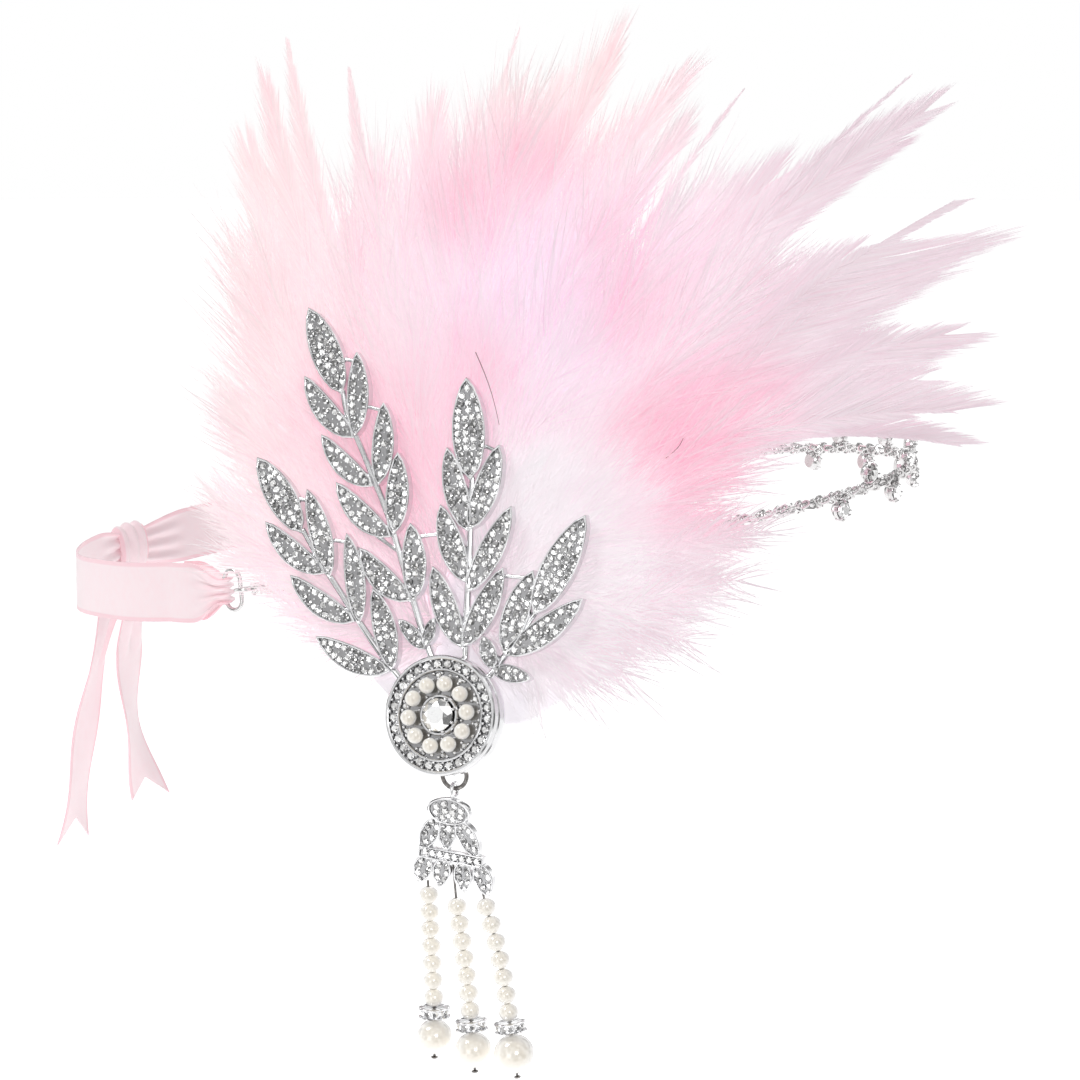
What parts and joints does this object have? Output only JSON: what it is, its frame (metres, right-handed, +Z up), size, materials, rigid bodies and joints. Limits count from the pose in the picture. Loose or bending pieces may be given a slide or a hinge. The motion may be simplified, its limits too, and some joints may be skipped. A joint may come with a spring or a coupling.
{
  "type": "feather headband",
  "caption": "Head-worn band of rope chain and satin ribbon, with a side feather plume, a stone-set leaf brooch and a hanging pearl drop.",
  "frame": {"origin": "middle of the band's loop, where the head goes in", "axes": "+Z up, -Y the front of the head, -X the head's right side, which carries the brooch and the plume"},
  "size_m": [0.1777, 0.2558, 0.2153],
  "materials": {
    "silver_casting": "bright rhodium-look plating with dark crevices, stone-set",
    "silver_chain": "bright plated twisted rope chain",
    "dark_wire": "plain darker wire",
    "ivory_pearl": "pearl lacquer, soft gloss",
    "clear_crystal": "clear foiled round brilliant",
    "pink_feather": "fluffy dyed feather barbs",
    "white_felt": "matt felt",
    "pink_satin": "satin ribbon with a soft sheen"
  },
  "bodies": {
    "root": {"leaf_spray": "silver_casting", "medallion": "silver_casting", "rope_chain_front": "silver_chain", "rope_chain_near": "silver_chain", "ribbon_ring_near": "silver_chain", "ribbon_ring_far": "silver_chain", "medallion_pearl_01": "ivory_pearl", "medallion_pearl_02": "ivory_pearl", "medallion_pearl_03": "ivory_pearl", "medallion_pearl_04": "ivory_pearl", "medallion_pearl_05": "ivory_pearl", "medallion_pearl_06": "ivory_pearl", "medallion_pearl_07": "ivory_pearl", "medallion_pearl_08": "ivory_pearl", "medallion_pearl_09": "ivory_pearl", "medallion_pearl_10": "ivory_pearl", "centre_stone": "clear_crystal", "feather_plume": "pink_feather", "backing_pad": "white_felt", "ribbon_near": "pink_satin", "ribbon_far": "pink_satin", "ribbon_knot": "pink_satin", "ribbon_tail_a": "pink_satin", "ribbon_tail_b": "pink_satin"},
    "ring_link": {"jump_ring": "dark_wire"},
    "drop": {"drop_casting": "silver_casting", "head_pin_1": "dark_wire", "head_pin_2": "dark_wire", "head_pin_3": "dark_wire", "pearl_1_1": "ivory_pearl", "pearl_1_2": "ivory_pearl", "pearl_1_3": "ivory_pearl", "pearl_1_4": "ivory_pearl", "pearl_1_5": "ivory_pearl", "pearl_1_6": "ivory_pearl", "pearl_1_7": "ivory_pearl", "pearl_2_1": "ivory_pearl", "pearl_2_2": "ivory_pearl", "pearl_2_3": "ivory_pearl", "pearl_2_4": "ivory_pearl", "pearl_2_5": "ivory_pearl", "pearl_2_6": "ivory_pearl", "pearl_2_7": "ivory_pearl", "pearl_3_1": "ivory_pearl", "pearl_3_2": "ivory_pearl", "pearl_3_3": "ivory_pearl", "pearl_3_4": "ivory_pearl", "pearl_3_5": "ivory_pearl", "pearl_3_6": "ivory_pearl", "pearl_3_7": "ivory_pearl", "rondelle_1": "silver_casting", "rondelle_2": "silver_casting", "rondelle_3": "silver_casting", "large_pearl_1": "ivory_pearl", "large_pearl_2": "ivory_pearl", "large_pearl_3": "ivory_pearl"}
  },
  "joints": [
    {"name": "ring_swing", "type": "hinge", "parent": "root", "child": "ring_link", "pos_m": [-0.08658, -0.04713, -0.03716], "axis": [-0.9903, -0.1392, 0], "range_deg": [-25, 25]},
    {"name": "drop_swing", "type": "hinge", "parent": "ring_link", "child": "drop", "pos_m": [-0.08658, -0.04713, -0.04246], "axis": [0.1392, -0.9903, 0], "range_deg": [-50, 15]}
  ]
}
